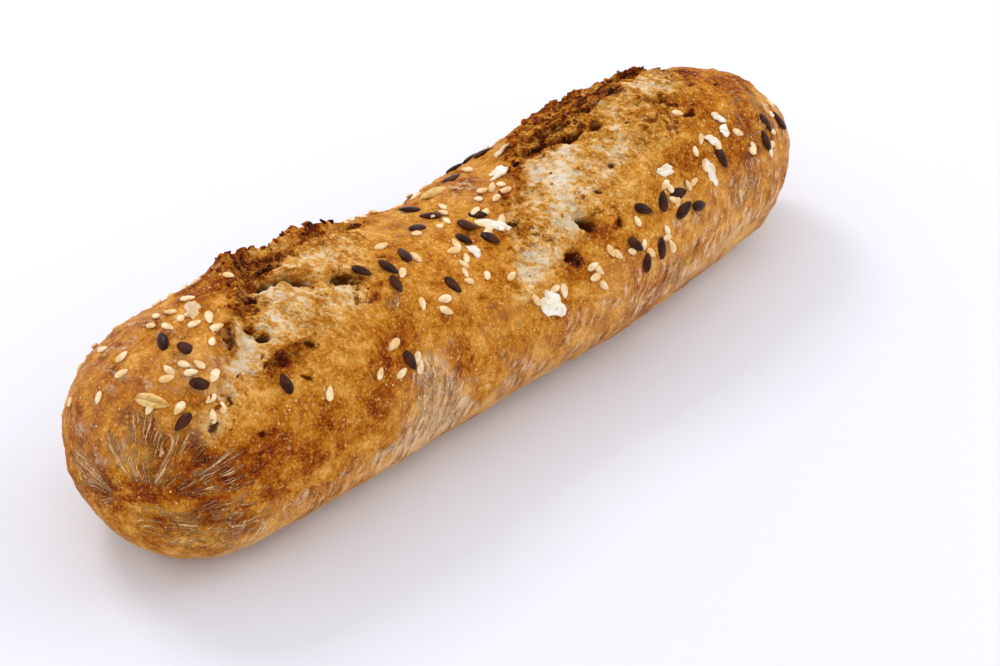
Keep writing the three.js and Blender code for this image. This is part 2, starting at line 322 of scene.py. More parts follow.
def strandsOf(fold, u, v):
    # for places round a fold: how strongly they take it, their count across its strands, and along them
    r = np.hypot(u, v)
    near, far = fold["reach"]
    if fold["kind"] == "fan":
        low, high = fold["angles"]
        part = ((np.degrees(np.arctan2(v, u)) - low + 60) % 360 - 60) / (high - low)
        here = smooth(-0.1, 0.05, part) * smooth(1.1, 0.95, part)
        here *= smooth(near * 0.4, near, r) * smooth(far, far * 0.55, r)
        return here, part * fold["strands"], r
    if fold["kind"] == "bands":
        a = math.radians(fold["angle"])
        here = smooth(1, 0.4, np.hypot(u / near, v / far))
        across, lengthwise = u * math.cos(a) + v * math.sin(a), v * math.cos(a) - u * math.sin(a)
        return here, across / fold["spacing"], lengthwise
    here = smooth(near * 0.5, near, r) * smooth(far, far * 0.6, r)
    return here, r / fold["spacing"], np.arctan2(v, u) * 5


def foldLines(base):
    # which fold a place belongs to, as a count that rises by one from strand to strand, and how strong it is
    count = np.zeros(len(base))
    mask = np.zeros(len(base))
    for k, fold in enumerate(folds):
        point, ahead, out = (np.array(v) for v in surfaceAt(*fold["at"]))
        away = base - point / mm
        here, step, alongStrand = strandsOf(fold, away @ ahead, away @ np.cross(ahead, out))
        flat = np.zeros(len(base))
        strayAt = np.stack([step / 2.2, alongStrand / 9, flat + 5 * k], axis=-1)
        breakAt = np.stack([step * 0.9, alongStrand / 5, flat + 7 * k], axis=-1)
        touched = here > 0.01
        step[touched] += foldShape["wander"] * cloud(strayAt[touched], 1, 2, 41)
        here[touched] *= np.clip(0.75 + 1.1 * cloud(breakAt[touched], 1, 2, 43), 0.1, 1)
        here = here * fold.get("strength", 1) * (np.abs(away @ out) < foldShape["depth"])
        count = np.where(here > mask, step, count)
        mask = np.maximum(mask, here)
    return count, mask


# Heights across a burst by the distance from its ear, and across a tear by the distance from its line
burstShape = {
    "earAcross": ([-10, -5, -2.2, -0.9, 0, 1, 2.4], [0, 0.2, 0.65, 1, 0.85, 0.35, 0]),
    "troughAcross": ([0, 1.2, 2.6, 4.5, 8, 13], [0, 0.4, 0.95, 1, 0.4, 0]),
    "earWander": 1.8,
    "lipWander": 2.4,
    "tipWander": 1.5,
    "lumps": 1.1,
    "lean": 0.9,
}
tearShape = {
    "flapAcross": ([-5, -2, -0.4, 0.3], [0, 0.55, 1, 0]),
    "crackAcross": ([-0.1, 0.5, 1.1, 2.4, 6.5], [0, 0.95, 1, 0.4, 0]),
    "deepCrack": 1.6,  # cracks from this depth on take the full painted shade
}


def stronger(looks, name, values):
    looks[name] = np.maximum(looks[name], values)


def openBurst(burst, crust, height, lean, looks):
    shape, seed = burstShape, burst["seed"]
    wobble, fine, spread = crust["wobble"], crust["fine"], crust["spread"]
    x0, arc0, way, length = burstFrame(burst)
    dx, dy = crust["x"] - x0, crust["arc"] - arc0
    p = dx * way[0] + dy * way[1] + shape["tipWander"] * wobble
    q = -dx * way[1] + dy * way[0]
    ear = np.interp(p, burst["earAt"], burst["earOff"]) + shape["earWander"] * cloud(spread, 9, 4, 7 + seed)
    ear += 0.5 * fine
    lip = np.interp(p, burst["lipAt"], burst["lipOff"]) + shape["lipWander"] * cloud(spread, 8, 4, 9 + seed)
    lip += 0.7 * fine
    fromEar = q - ear
    fromLip = lip - q
    ends = smooth(-1, 2, p) * (1 - smooth(length - 2, length + 1, p))
    within = smooth(-0.5, 1.2, fromEar) * smooth(-1.5, 3.5, fromLip) * ends
    tall = np.interp(p, burst["heightAt"], burst["heights"])
    full = np.minimum(tall, 1)
    jag = np.clip(0.85 + 0.8 * cloud(spread, 9, 4, 11 + seed) + 0.3 * fine, 0.15, 1.5)
    dome = np.sin(np.pi * np.clip(fromEar / np.maximum(fromEar + fromLip, 0.1), 0, 1))
    height += burst["ear"] * tall * jag * np.interp(fromEar, *shape["earAcross"])
    height -= burst["trough"] * (0.2 + 0.8 * full) * within * np.interp(fromEar, *shape["troughAcross"])
    height += within * (burst["swell"] * dome + shape["lumps"] * cloud(spread, 8, 3, 17 + seed))
    lean += (tall * jag * hill(fromEar, -0.4, 1.2) * shape["lean"])[..., None] * np.array([-way[1], way[0]])
    torn = smooth(-1.8, 1.6, fromEar + 0.8 * fine) * smooth(-4, 7, fromLip + 2 * wobble) * ends
    stronger(looks, "inside", torn)
    stronger(looks, "edge", full * hill(fromEar, -0.9, 1.4))
    # painted shade in the trough just inside the ear, where the ear's shadow falls
    stronger(looks, "pit", 0.4 * within * full * hill(fromEar, 2.0, 1.1))


def liftTear(tear, crust, height, looks):
    wobble = crust["wobble"]
    x, arc = crust["x"] + 0.8 * wobble, crust["arc"] + 0.8 * crust["fine"]
    far, side, place = lineDistance(x, arc, tear["line"])
    ends = np.clip(5 * place * (1 - place) + 0.1, 0, 1) * smooth(tear["reach"] * 4, tear["reach"] * 2, far)
    signed = far * side / tear["reach"] * 1.5
    height += ends * tear["height"] * np.interp(signed, *tearShape["flapAcross"]) * (0.8 + 0.5 * wobble)
    height -= ends * tear["crack"] * np.interp(signed, *tearShape["crackAcross"])
    stronger(looks, "gilt", ends * hill(signed, -0.6, 0.9))
    # painted shade down the crack beside the flap
    stronger(looks, "pit", ends * min(1, tear["crack"] / tearShape["deepCrack"]) * hill(signed, 0.8, 0.7))


def sinkHole(hole, crust, height, looks):
    hx, ht, longR, shortR, depth, heading = hole
    a = math.radians(heading)
    dx, dy = crust["x"] - hx, crust["arc"] - ht * arcPerDegree
    u = (dx * math.cos(a) + dy * math.sin(a)) / longR
    v = (-dx * math.sin(a) + dy * math.cos(a)) / shortR
    within = smooth(1.3, 0.5, np.hypot(u, v) * (1 + 0.35 * crust["wobble"] + 0.25 * crust["fine"]))
    height -= depth * within
    # painted shade in the hole, besides its depth
    stronger(looks, "pit", within)


def sculptBody(x, turn, share, base):
    # the larger shapes: height over the plain body, a sideways lean, and what each place is like
    arc = np.degrees(turn) * arcPerDegree
    spread = np.stack([x, arc, 0 * x], axis=-1)
    crust = {"x": x, "arc": arc, "spread": spread}
    crust["wobble"] = cloud(spread, 5, 3, 5)
    crust["fine"] = cloud(spread, 1.8, 3, 6)
    upper = smooth(-0.6, 0.0, np.cos(turn))
    height = loafShape["swells"] * cloud(base, 34, 2, 1) + loafShape["lumps"] * cloud(base, 12, 3, 2)
    for dx, dt, radius, rise in loafShape["dents"]:
        height += rise * smooth(1.2, 0.2, np.hypot(x - dx, arc - dt * arcPerDegree) / radius)
    lean = np.zeros(x.shape + (2,))
    looks = {name: zoneStrength(name, x, arc, crust["wobble"]) for name in zones}
    looks.update({name: np.zeros(x.shape) for name in ("inside", "pit", "edge", "gilt")})
    for burst in bursts:
        openBurst(burst, crust, height, lean, looks)
    for tear in tears:
        liftTear(tear, crust, height, looks)
    for hole in holes:
        sinkHole(hole, crust, height, looks)
    height = height * share**0.3 * upper + (1 - upper) * loafShape["soleLumps"] * cloud(base, 6, 3, 21)
    return height, lean, upper, looks


fineRelief = {  # heights in millimetres
    "skin": 0.26, "grit": 0.17, "blisters": 0.6, "torn": 1.9, "fuzz": 0.5, "softening": 0.25,
    "shreds": 2.0, "shredGrit": 0.5,
}
bakeLevels = {  # 0 raw, 0.5 golden, 1 charred; the rest add to the level or take from it
    "crust": 0.53, "crumb": 0.42, "edge": 0.7,
    "caramel": 0.24, "blushAndSheen": -0.08, "flourAndBounce": -0.06, "toasted": 0.25, "pale": -0.3, "gilt": 0.16,
    "charAndShade": 0.55,
}


def roughen(placed, upper, looks):
    # the fine relief, worked out on the sculpted shape so that it has no grain of its own, and the bake
    strands = placed @ fibreTurn
    torn = crags(strands, 2.6, 4, 13)
    fuzz = cloud(strands, 1.0, 3, 15)
    shreds = crags(placed, 3.0, 4, 19)
    skin = cloud(placed, 3.2, 3, 3)
    grit = cloud(placed, 1.3, 3, 8)
    blisters = crags(placed, 5.0, 3, 4)
    inside, edge = looks["inside"], looks["edge"]
    rise, level = fineRelief, bakeLevels
    crustRelief = rise["skin"] * skin + rise["grit"] * grit + rise["blisters"] * (blisters - 0.5)
    crumbRelief = rise["torn"] * (torn - 0.5) + rise["fuzz"] * fuzz + rise["softening"] * skin
    height = crustRelief * (1 - inside) + crumbRelief * inside
    height += rise["shreds"] * edge * (shreds - 0.45) + rise["shredGrit"] * edge * grit
    count, mask = foldLines(placed)
    gathers = np.stack([count * 2.2, placed[:, 0] / 11, placed[:, 2] / 11], axis=-1)
    height += mask * foldShape["height"] * cloud(gathers, 1, 2, 33)
    crustBake = level["crust"] + 0.05 * cloud(placed, 24, 2, 23) + 0.07 * cloud(placed, 7, 3, 25)
    crustBake += 0.04 * skin
    for name in ("caramel", "blushAndSheen", "flourAndBounce"):
        crustBake += level[name] * looks[name]
    crumbBake = level["crumb"] + 0.09 * cloud(placed, 6, 3, 27) + 0.26 * (torn - 0.5) + 0.06 * fuzz
    crumbBake += level["toasted"] * looks["toasted"] * (1 + 0.8 * skin) + level["pale"] * looks["pale"]
    bake = crustBake * (1 - inside) + crumbBake * inside
    bake = bake * (1 - edge) + edge * (level["edge"] + 0.55 * (shreds - 0.5) + 0.18 * skin)
    bake += level["gilt"] * looks["gilt"]
    # char spots, which on the holes are painted shade
    bake += level["charAndShade"] * looks["charAndShade"] * np.clip(0.8 + 1.2 * grit + 0.6 * skin, 0, 1)
    looks.update({"bake": bake, "foldCount": count, "foldMask": mask * upper})
    return height


tearAngle = math.radians(63.6)  # the crumb's strands run across the bursts, this far from the loaf's length
strandStretch = 2.3
acrossTear, alongTear = math.sin(tearAngle), math.cos(tearAngle)
fibreTurn = np.array([
    [alongTear / strandStretch, acrossTear, 0],
    [-acrossTear / strandStretch, alongTear, 0],
    [0, 0, 1],
])


def layOutBody(co):
    # a ball's points moved to the plain loaf, with the directions along, round and out of it at each
    shape = loafShape
    reach = (1 - 2 * np.arccos(np.clip(co[:, 2], -1, 1)) / np.pi) * (straightHalf + shape["endArc"])
    swing = np.clip((np.abs(reach) - straightHalf) / shape["endArc"], 0, 1) * np.pi / 2
    into = np.sin(swing) ** (2 / shape["endBluntness"])
    x = np.where(swing > 0, np.sign(reach) * (straightHalf + shape["endRadius"] * into), reach)
    share = np.where(swing > 0, np.maximum(np.cos(swing), 0) ** (2 / shape["endBluntness"]), 1)
    angle = np.arctan2(co[:, 0], co[:, 1])
    turn = angle - shape["topFinerBy"] * np.sin(angle)
    base = bodyPoint(x, turn, share)
    step = 0.4
    tiny = 1e-6
    before, after = (bodyPoint(x + d, turn, endShare(x + d)) for d in (-step, step))
    ahead = after - before
    across = bodyPoint(x, turn + step / crustRadius, share) - bodyPoint(x, turn - step / crustRadius, share)
    middle = np.stack([np.clip(x, -straightHalf, straightHalf), 0 * x, 0 * x + shape["beltHeight"]], axis=-1)
    out = np.cross(ahead, across)
    out *= np.sign(np.sum(out * (base - middle), axis=1, keepdims=True) + 1e-9)
    size = np.linalg.norm(out, axis=1, keepdims=True)
    poleward = np.stack([np.sign(x), 0 * x, 0 * x], axis=-1)
    out = np.where((size > tiny) & (share > 0.06)[:, None], out / np.maximum(size, tiny), poleward)
    ahead /= np.maximum(np.linalg.norm(ahead, axis=1, keepdims=True), tiny)
    across /= np.maximum(np.linalg.norm(across, axis=1, keepdims=True), tiny)
    return x, turn, share, base, (ahead, across, out)


def readPoints(mesh, what):
    values = np.empty(len(mesh.vertices) * 3)
    mesh.vertices.foreach_get(what, values)
    return values.reshape(-1, 3)


def placePoints(mesh, points):
    mesh.vertices.foreach_set("co", (points * mm).ravel())


def fromBmesh(bm, name):
    mesh = bpy.data.meshes.new(name)
    bm.to_mesh(mesh)
    bm.free()
    return mesh


def link(piece):
    bpy.context.collection.objects.link(piece)
    return piece


def makeLoaf():
    shape = loafShape
    bm = bmesh.new()
    around, along = shape["facetsAround"], shape["facetsAlong"]
    bmesh.ops.create_uvsphere(bm, u_segments=around, v_segments=along, radius=1)
    bmesh.ops.recalc_face_normals(bm, faces=bm.faces)
    mesh = fromBmesh(bm, "bakedLoaf")
    x, turn, share, base, (ahead, across, out) = layOutBody(readPoints(mesh, "co"))
    print("loaf: body laid out,", len(x), "points")
    height, lean, upper, looks = sculptBody(x, turn, share, base)
    offSole = smooth(0.02, 1.2, base[:, 2])[:, None]
    placed = base + out * height[:, None] * offSole
    placed += (ahead * lean[:, :1] + across * lean[:, 1:]) * upper[:, None]
    placePoints(mesh, placed)
    mesh.update()
    normals = readPoints(mesh, "normal")
    normals *= np.sign(np.sum(normals * out, axis=1, keepdims=True).mean())
    print("loaf: bursts opened")
    relief = roughen(placed, upper, looks) * (0.35 + 0.65 * upper) * share**0.3
    placed = placed + normals * relief[:, None] * offSole
    placed[:, 2] = np.maximum(placed[:, 2], 0)
    placePoints(mesh, placed)
    # flour laid thicker towards the sole: flour, and painted light bounced up from the floor
    under = smooth(16, 2, base[:, 2]) * (0.8 + 0.5 * cloud(base, 14, 3, 31))
    stronger(looks, "flourAndBounce", np.clip(under, 0, 1))
    for name in ("bake", "inside", "pit", "greyShade", "blushAndSheen", "flourAndBounce", "toasted", "foldCount", "foldMask"):
        mesh.attributes.new(name, "FLOAT", "POINT").data.foreach_set("value", looks[name])
    mesh.shade_smooth()
    bm = bmesh.new()
    bm.from_mesh(mesh)
    bmesh.ops.recalc_face_normals(bm, faces=bm.faces)
    bm.to_mesh(mesh)
    bm.free()
    print("loaf: sculpted")
    return link(bpy.data.objects.new("bakedLoaf", mesh))


def newMaterial(name):
    material = bpy.data.materials.new(name)
    material.use_nodes = True
    tree = material.node_tree
    return material, tree, tree.nodes["Principled BSDF"]


def plug(tree, socket, value):
    if isinstance(value, bpy.types.NodeSocket):
        tree.links.new(value, socket)
    elif isinstance(value, tuple) and len(value) == 3 and socket.type == "RGBA":
        socket.default_value = (*value, 1)
    else:
        socket.default_value = value


def node(tree, kind, settings=None, **inputs):
    made = tree.nodes.new(kind)
    for key, value in (settings or {}).items():
        setattr(made, key, value)
    for key, value in inputs.items():
        plug(tree, made.inputs[key], value)
    return made


def noiseAt(tree, where, size, detail=4.0, roughness=0.6):
    # noise of 0 to 1 in patches of the given size in millimetres
    settings = {"Vector": where, "Scale": 1 / (size * mm), "Detail": detail, "Roughness": roughness}
    return node(tree, "ShaderNodeTexNoise", **settings).outputs["Fac"]


def dotsAt(tree, where, spacing, radius):
    # small round dots scattered with about the given spacing, 1 in their middles and 0 outside
    made = node(tree, "ShaderNodeTexVoronoi", Vector=where, Scale=1 / (spacing * mm))
    return ramp(tree, made.outputs["Distance"], radius / spacing, radius / spacing * 0.5)


def stretched(tree, where, stretch, turn):
    # coordinates that draw a pattern out along its axes and turn it
    made = node(tree, "ShaderNodeMapping", {"vector_type": "TEXTURE"}, Vector=where)
    made.inputs["Scale"].default_value = stretch
    made.inputs["Rotation"].default_value = turn
    return made.outputs[0]


def ramp(tree, value, low, high, fromValue=0.0, toValue=1.0):
    made = node(tree, "ShaderNodeMapRange", {"interpolation_type": "SMOOTHSTEP"}, Value=value)
    for key, number in (("From Min", low), ("From Max", high), ("To Min", fromValue), ("To Max", toValue)):
        made.inputs[key].default_value = number
    return made.outputs["Result"]


def maths(tree, operation, *values):
    made = node(tree, "ShaderNodeMath", {"operation": operation})
    for socket, value in zip(made.inputs, values):
        plug(tree, socket, value)
    return made.outputs[0]


def total(tree, *parts):
    # a weighted sum of (value, weight) pairs
    result = 0.0
    for value, weight in parts:
        result = maths(tree, "MULTIPLY_ADD", value, weight, result)
    return result


def product(tree, first, *others):
    result = first
    for value in others:
        result = maths(tree, "MULTIPLY", result, value)
    return result


def centred(tree, value):
    return maths(tree, "SUBTRACT", value, 0.5)


def opposite(tree, value):
    return maths(tree, "SUBTRACT", 1.0, value)


def mixed(tree, factor, first, second, kind="RGBA"):
    # the Mix node has one set of sockets for numbers and another for colours
    at = 6 if kind == "RGBA" else 2
    made = node(tree, "ShaderNodeMix", {"data_type": kind})
    for socket, value in zip((made.inputs[0], *made.inputs[at:at + 2]), (factor, first, second)):
        plug(tree, socket, value)
    return made.outputs[2 if kind == "RGBA" else 0]


def coat(tree, under, over, *amounts):
    # one colour laid over another, as strongly as the amounts multiplied together
    return mixed(tree, product(tree, *amounts), under, over)


def painted(tree, name):
    return node(tree, "ShaderNodeAttribute", {"attribute_name": name}).outputs["Fac"]


def emboss(tree, shader, height, depth, strength=0.8):
    bump = node(tree, "ShaderNodeBump", Height=height, Distance=depth * mm, Strength=strength)
    tree.links.new(bump.outputs["Normal"], shader.inputs["Normal"])


def tone(red, green, blue):
    # an everyday 0-255 colour as the linear one that nodes take
    shares = (c / 255 for c in (red, green, blue))
    return tuple(((c + 0.055) / 1.055) ** 2.4 if c > 0.04045 else c / 12.92 for c in shares)


bakedLook = {
    # the colour of the dough as it bakes, from raw crumb through gold to char
    "stops": [
        (0.0, tone(255, 234, 204)), (0.16, tone(255, 214, 154)), (0.32, tone(242, 180, 92)),
        (0.46, tone(214, 144, 50)), (0.56, tone(194, 119, 28)), (0.68, tone(161, 80, 8)),
        (0.8, tone(123, 46, 7)), (0.91, tone(88, 26, 10)), (1.0, tone(46, 14, 6)),
    ],
    # pinkish tan, partly a painted sheen
    "blushAndSheen": tone(220, 150, 94),
    "strand": tone(255, 204, 146),
    # greyed crumb, painted shade in the pockets
    "greyShade": tone(222, 190, 150),
    "fleck": tone(212, 138, 56),
    "scorch": tone(92, 26, 12),
    # flour, made paler to stand in for light bounced up from the floor as well
    "flourAndBounce": tone(255, 224, 184),
    # painted shade for the holes, cracks and troughs under the ears
    "hollowShade": tone(74, 28, 8),
    # pale specks, partly flour and partly painted glints
    "paleSpeckAndGlint": tone(250, 212, 150),
    # dark freckles, also used as painted shade in furrows, creases and fold valleys
    "darkSpeckAndShade": tone(96, 42, 8),
    # patterns by the size of their patches in millimetres
    "broad": 6, "mottle": 1.7, "speck": 0.6, "strands": 1.0, "pores": 2.2, "wrinkle": 1.3, "scorchSize": 2.6,
    "creaseSize": 4.5,
    "wrinkleStretch": 3.2,
    "wrinkleLean": 0.35,
    "strandLength": 9,
    "strandSpread": 3.0,
    # how far the patterns change the bake on the skin and in the crumb
    "crustChange": {"broad": 0.8, "mottle": 0.5, "speck": 0.5},
    "crumbChange": {"pores": 1.1, "strands": 1.35, "speck": 0.8},
    # how strongly each colour goes on
    "blushAndSheenAmount": 0.62, "greyShadeAmount": 0.28, "flourAndBounceAmount": 0.6, "crestAmount": 0.6, "furrowAmount": 0.55,
    "strandAmount": 0.9, "scorchAmount": 0.85, "creaseAmount": 0.4,
    # dots: spacing, radius, where the patches of them start and are full, colour, amount
    "dots": [
        (1.5, 0.32, 0.48, 0.6, "paleSpeckAndGlint", 0.9), (2.1, 0.3, 0.55, 0.42, "darkSpeckAndShade", 0.7),
        (3.7, 0.6, 0.52, 0.66, "paleSpeckAndGlint", 0.6),
    ],
    "shine": 0.02,
    "crustRoughness": 0.42,
    "shredRoughness": 0.7,
    "shredRelief": 0.4,
    "reliefDepth": 1.15,
    "reliefStrength": 0.9,
}


def bakedColour(tree, bake):
    made = node(tree, "ShaderNodeValToRGB", Fac=bake)
    elements = made.color_ramp.elements
    for at, colour in bakedLook["stops"][1:-1]:
        elements.new(at).color = (*colour, 1)
    elements[0].color = (*bakedLook["stops"][0][1], 1)
    elements[len(elements) - 1].color = (*bakedLook["stops"][-1][1], 1)
    return made.outputs["Color"]


def crustPatterns(tree):
    # the noises and painted values that the colour and the relief share
    look = bakedLook
    at = node(tree, "ShaderNodeTexCoord").outputs["Object"]
    alongTears = stretched(tree, at, (strandStretch, 1, 1), (0, 0, -tearAngle))
    gathered = look["wrinkleStretch"]
    roundFlanks = stretched(tree, at, (1, gathered, gathered), (0, look["wrinkleLean"], 0))
    return {
        "at": at,
        "inside": painted(tree, "inside"),
        "broad": noiseAt(tree, at, look["broad"], 4),
        "mottle": noiseAt(tree, at, look["mottle"], 5, 0.68),
        "speck": noiseAt(tree, at, look["speck"], 4, 0.7),
        "strands": noiseAt(tree, alongTears, look["strands"], 5, 0.7),
        "pores": noiseAt(tree, alongTears, look["pores"], 4, 0.62),
        "wrinkle": noiseAt(tree, roundFlanks, look["wrinkle"], 4, 0.62),
    }


def changeOf(tree, pattern, amounts):
    return total(tree, *((centred(tree, pattern[name]), amount) for name, amount in amounts.items()))


def dustAndWrinkles(tree, pattern, colour):
    # pinkish tan partly painted as sheen, grey crumb as painted shade, flour with painted bounce light, and
    # the fine wrinkles that go round the flanks
    look = bakedLook
    broad, mottle, speck = (centred(tree, pattern[name]) for name in ("broad", "mottle", "speck"))
    flourAndBounce, blushAndSheen = painted(tree, "flourAndBounce"), painted(tree, "blushAndSheen")
    uneven = ramp(tree, total(tree, (pattern["broad"], 0.5), (pattern["mottle"], 0.5)), 0.3, 0.62)
    # pinkish tan with a painted sheen
    colour = coat(tree, colour, look["blushAndSheen"], blushAndSheen, uneven, look["blushAndSheenAmount"])
    # painted shade: the crumb pockets greyed
    colour = coat(tree, colour, look["greyShade"], painted(tree, "greyShade"), uneven, look["greyShadeAmount"])
    # flour, partly painted bounce light
    dusty = ramp(tree, total(tree, (flourAndBounce, 1.0), (mottle, 1.6), (speck, 1.2)), 0.3, 0.9)
    colour = coat(tree, colour, look["flourAndBounce"], dusty, look["flourAndBounceAmount"])
    flank = ramp(tree, total(tree, (flourAndBounce, 0.7), (blushAndSheen, 0.8), (broad, 2.0)), 0.25, 0.75)
    onSkin = product(tree, flank, opposite(tree, pattern["inside"]))
    crests, furrows = ramp(tree, pattern["wrinkle"], 0.51, 0.62), ramp(tree, pattern["wrinkle"], 0.48, 0.36)
    colour = coat(tree, colour, look["flourAndBounce"], crests, onSkin, look["crestAmount"])
    # painted shade in the furrows between the wrinkles
    colour = coat(tree, colour, look["darkSpeckAndShade"], furrows, onSkin, look["furrowAmount"])
    return colour, flank


def poresBlistersAndGlints(tree, pattern, colour):
    # the pale dots are partly painted glints, the dark ones freckles
    look = bakedLook
    outside = opposite(tree, product(tree, pattern["inside"], 0.5))
    for spacing, radius, start, full, speckTone, amount in look["dots"]:
        dots = dotsAt(tree, pattern["at"], spacing, radius)
        some = ramp(tree, noiseAt(tree, pattern["at"], spacing * 2.3, 1), start, full, 0, amount)
        colour = coat(tree, colour, look[speckTone], dots, some, outside)
    return colour


def fineFolds(tree, pattern, colour):
    # pale along their crests, with painted shade darkening the furrows between
    look = bakedLook
    broad, mottle, speck = (centred(tree, pattern[name]) for name in ("broad", "mottle", "speck"))
    mask = painted(tree, "foldMask")
    places = node(tree, "ShaderNodeSeparateXYZ", Vector=pattern["at"]).outputs
    lengthwise = look["strandLength"] * mm
    strandAt = node(
        tree, "ShaderNodeCombineXYZ", X=product(tree, painted(tree, "foldCount"), look["strandSpread"]),
        Y=maths(tree, "DIVIDE", places[0], lengthwise), Z=maths(tree, "DIVIDE", places[2], lengthwise),
    )
    crest = total(tree, (noiseAt(tree, strandAt.outputs[0], 1 / mm, 3), 1.0), (speck, 0.25), (mottle, 0.25))
    folded = ramp(tree, total(tree, (mask, 1.0), (mottle, 1.6), (broad, 1.6)), 0.12, 0.55)
    folded = product(tree, folded, ramp(tree, mask, 0.02, 0.3))
    strand = product(tree, ramp(tree, crest, 0.51, 0.6), folded)
    colour = coat(tree, colour, look["darkSpeckAndShade"], ramp(tree, crest, 0.48, 0.36, 0, 0.5), folded)
    return coat(tree, colour, look["strand"], strand, look["strandAmount"]), strand


def crumbFlecks(tree, pattern, colour):
    # golden flecks in the crumb, and scorched spots where it is toasted
    look = bakedLook
    golden = ramp(tree, painted(tree, "bake"), 0.1, 0.4, 0.3, 1.0)
    streaks = ramp(tree, pattern["strands"], 0.54, 0.62, 0, 0.6)
    colour = coat(tree, colour, look["fleck"], streaks, pattern["inside"], golden)
    spots = ramp(tree, noiseAt(tree, pattern["at"], look["scorchSize"], 3), 0.53, 0.59)
    toasted = ramp(tree, painted(tree, "toasted"), 0.1, 0.6)
    return coat(tree, colour, look["scorch"], spots, toasted, look["scorchAmount"])


def crustMaterial():
    material, tree, shader = newMaterial("bakedCrust")
    look = bakedLook
    pattern = crustPatterns(tree)
    inside, mottle = pattern["inside"], pattern["mottle"]
    onSkin, inCrumb = (changeOf(tree, pattern, look[name]) for name in ("crustChange", "crumbChange"))
    change = mixed(tree, inside, onSkin, inCrumb, "FLOAT")
    colour = bakedColour(tree, maths(tree, "ADD", painted(tree, "bake"), change))
    colour, flank = dustAndWrinkles(tree, pattern, colour)
    colour = poresBlistersAndGlints(tree, pattern, colour)
    colour, strand = fineFolds(tree, pattern, colour)
    colour = crumbFlecks(tree, pattern, colour)
    # fine creases with painted shade along them, dark freckles and pale specks (partly painted glints) over
    # everything, then painted shade in the holes, cracks and ear troughs
    # painted shade along the fine creases
    crossing = centred(tree, noiseAt(tree, pattern["at"], look["creaseSize"], 3, 0.5))
    crease = ramp(tree, maths(tree, "ABSOLUTE", crossing), 0.012, 0.0)
    crease = product(tree, crease, ramp(tree, pattern["broad"], 0.5, 0.62))
    colour = coat(tree, colour, look["darkSpeckAndShade"], crease, look["creaseAmount"])
    colour = coat(tree, colour, look["darkSpeckAndShade"], ramp(tree, mottle, 0.52, 0.7, 0, 0.3))
    colour = coat(tree, colour, look["paleSpeckAndGlint"], ramp(tree, pattern["speck"], 0.46, 0.3, 0, 0.35))
    # painted shade: the holes, cracks and ear troughs darkened
    deep = total(tree, (painted(tree, "pit"), 1.0), (centred(tree, mottle), 0.8))
    colour = coat(tree, colour, look["hollowShade"], ramp(tree, deep, 0.3, 0.9, 0, 0.92))
    tree.links.new(colour, shader.inputs["Base Color"])
    rough = total(tree, (inside, 0.3), (centred(tree, mottle), 0.5))
    tree.links.new(maths(tree, "ADD", rough, look["crustRoughness"]), shader.inputs["Roughness"])
    shader.inputs["Specular IOR Level"].default_value = look["shine"]
    crumbGrain = product(tree, total(tree, (pattern["strands"], 1.0), (pattern["pores"], 0.8)), inside)
    relief = total(
        tree, (mottle, 0.55), (pattern["speck"], 0.4), (product(tree, pattern["wrinkle"], flank), 0.9),
        (crumbGrain, 1.0), (strand, 0.6), (crease, -0.3),
    )
    emboss(tree, shader, relief, look["reliefDepth"], look["reliefStrength"])
    return material


def shredMaterial():
    material, tree, shader = newMaterial("tornCrumb")
    speck = noiseAt(tree, node(tree, "ShaderNodeTexCoord").outputs["Object"], 0.7, 4, 0.7)
    bake = total(tree, (painted(tree, "bake"), 1.0), (centred(tree, speck), 0.6))
    tree.links.new(bakedColour(tree, bake), shader.inputs["Base Color"])
    shader.inputs["Roughness"].default_value = bakedLook["shredRoughness"]
    shader.inputs["Specular IOR Level"].default_value = bakedLook["shine"]
    emboss(tree, shader, speck, bakedLook["shredRelief"])
    return material


def seedMaterial(name, look):
    material, tree, shader = newMaterial(name)
    at = node(tree, "ShaderNodeTexCoord").outputs["Object"]
    fleck = noiseAt(tree, at, look["fleckSize"], 4)
    patch = noiseAt(tree, at, look["patchSize"], 2)
    colour = coat(tree, look["tone"], look["second"], ramp(tree, patch, 0.38, 0.62))
    colour = coat(tree, colour, look["fleck"], ramp(tree, fleck, 0.5, 0.68, 0, 0.65))
    if "toasted" in look:
        colour = coat(tree, colour, look["toastedTone"], painted(tree, "toast"))
    tree.links.new(colour, shader.inputs["Base Color"])
    rough = ramp(tree, fleck, 0.3, 0.7, look["roughness"], look["roughness"] + 0.2)
    tree.links.new(rough, shader.inputs["Roughness"])
    shader.inputs["Specular IOR Level"].default_value = look["shine"]
    emboss(tree, shader, fleck, look["relief"])
    return material


def linkPiece(name, bm, material, nodes=()):
    bmesh.ops.recalc_face_normals(bm, faces=bm.faces)
    mesh = fromBmesh(bm, name)
    mesh.shade_smooth()
    mesh.materials.append(material)
    piece = link(bpy.data.objects.new(name, mesh))
    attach(piece, "root")
    if nodes:
        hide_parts(*nodes)
    print(name, "made")


rng = random.Random(7)


def dropOn(point, out):
    # the nearest place of the sculpted crust under a point, looking along its outward direction
    reach = 0.012
    spot = crustTree.ray_cast(point + out * reach, -out, 2 * reach)[0]
    return spot or point


def seatOn(point, out, look):
    # where a seed's middle goes, so that it lies on the crust a little sunk in
    return dropOn(point, out) + out * look["thickness"] * mm * (0.5 - look["sink"])


def lay(point, along, out, tilt=0.0):
    side = out.cross(along).normalized()
    ahead = side.cross(out).normalized()
    turned = Matrix((ahead, side, out)).transposed().to_4x4()
    return Matrix.Translation(point) @ turned @ Matrix.Rotation(tilt, 4, "Y")


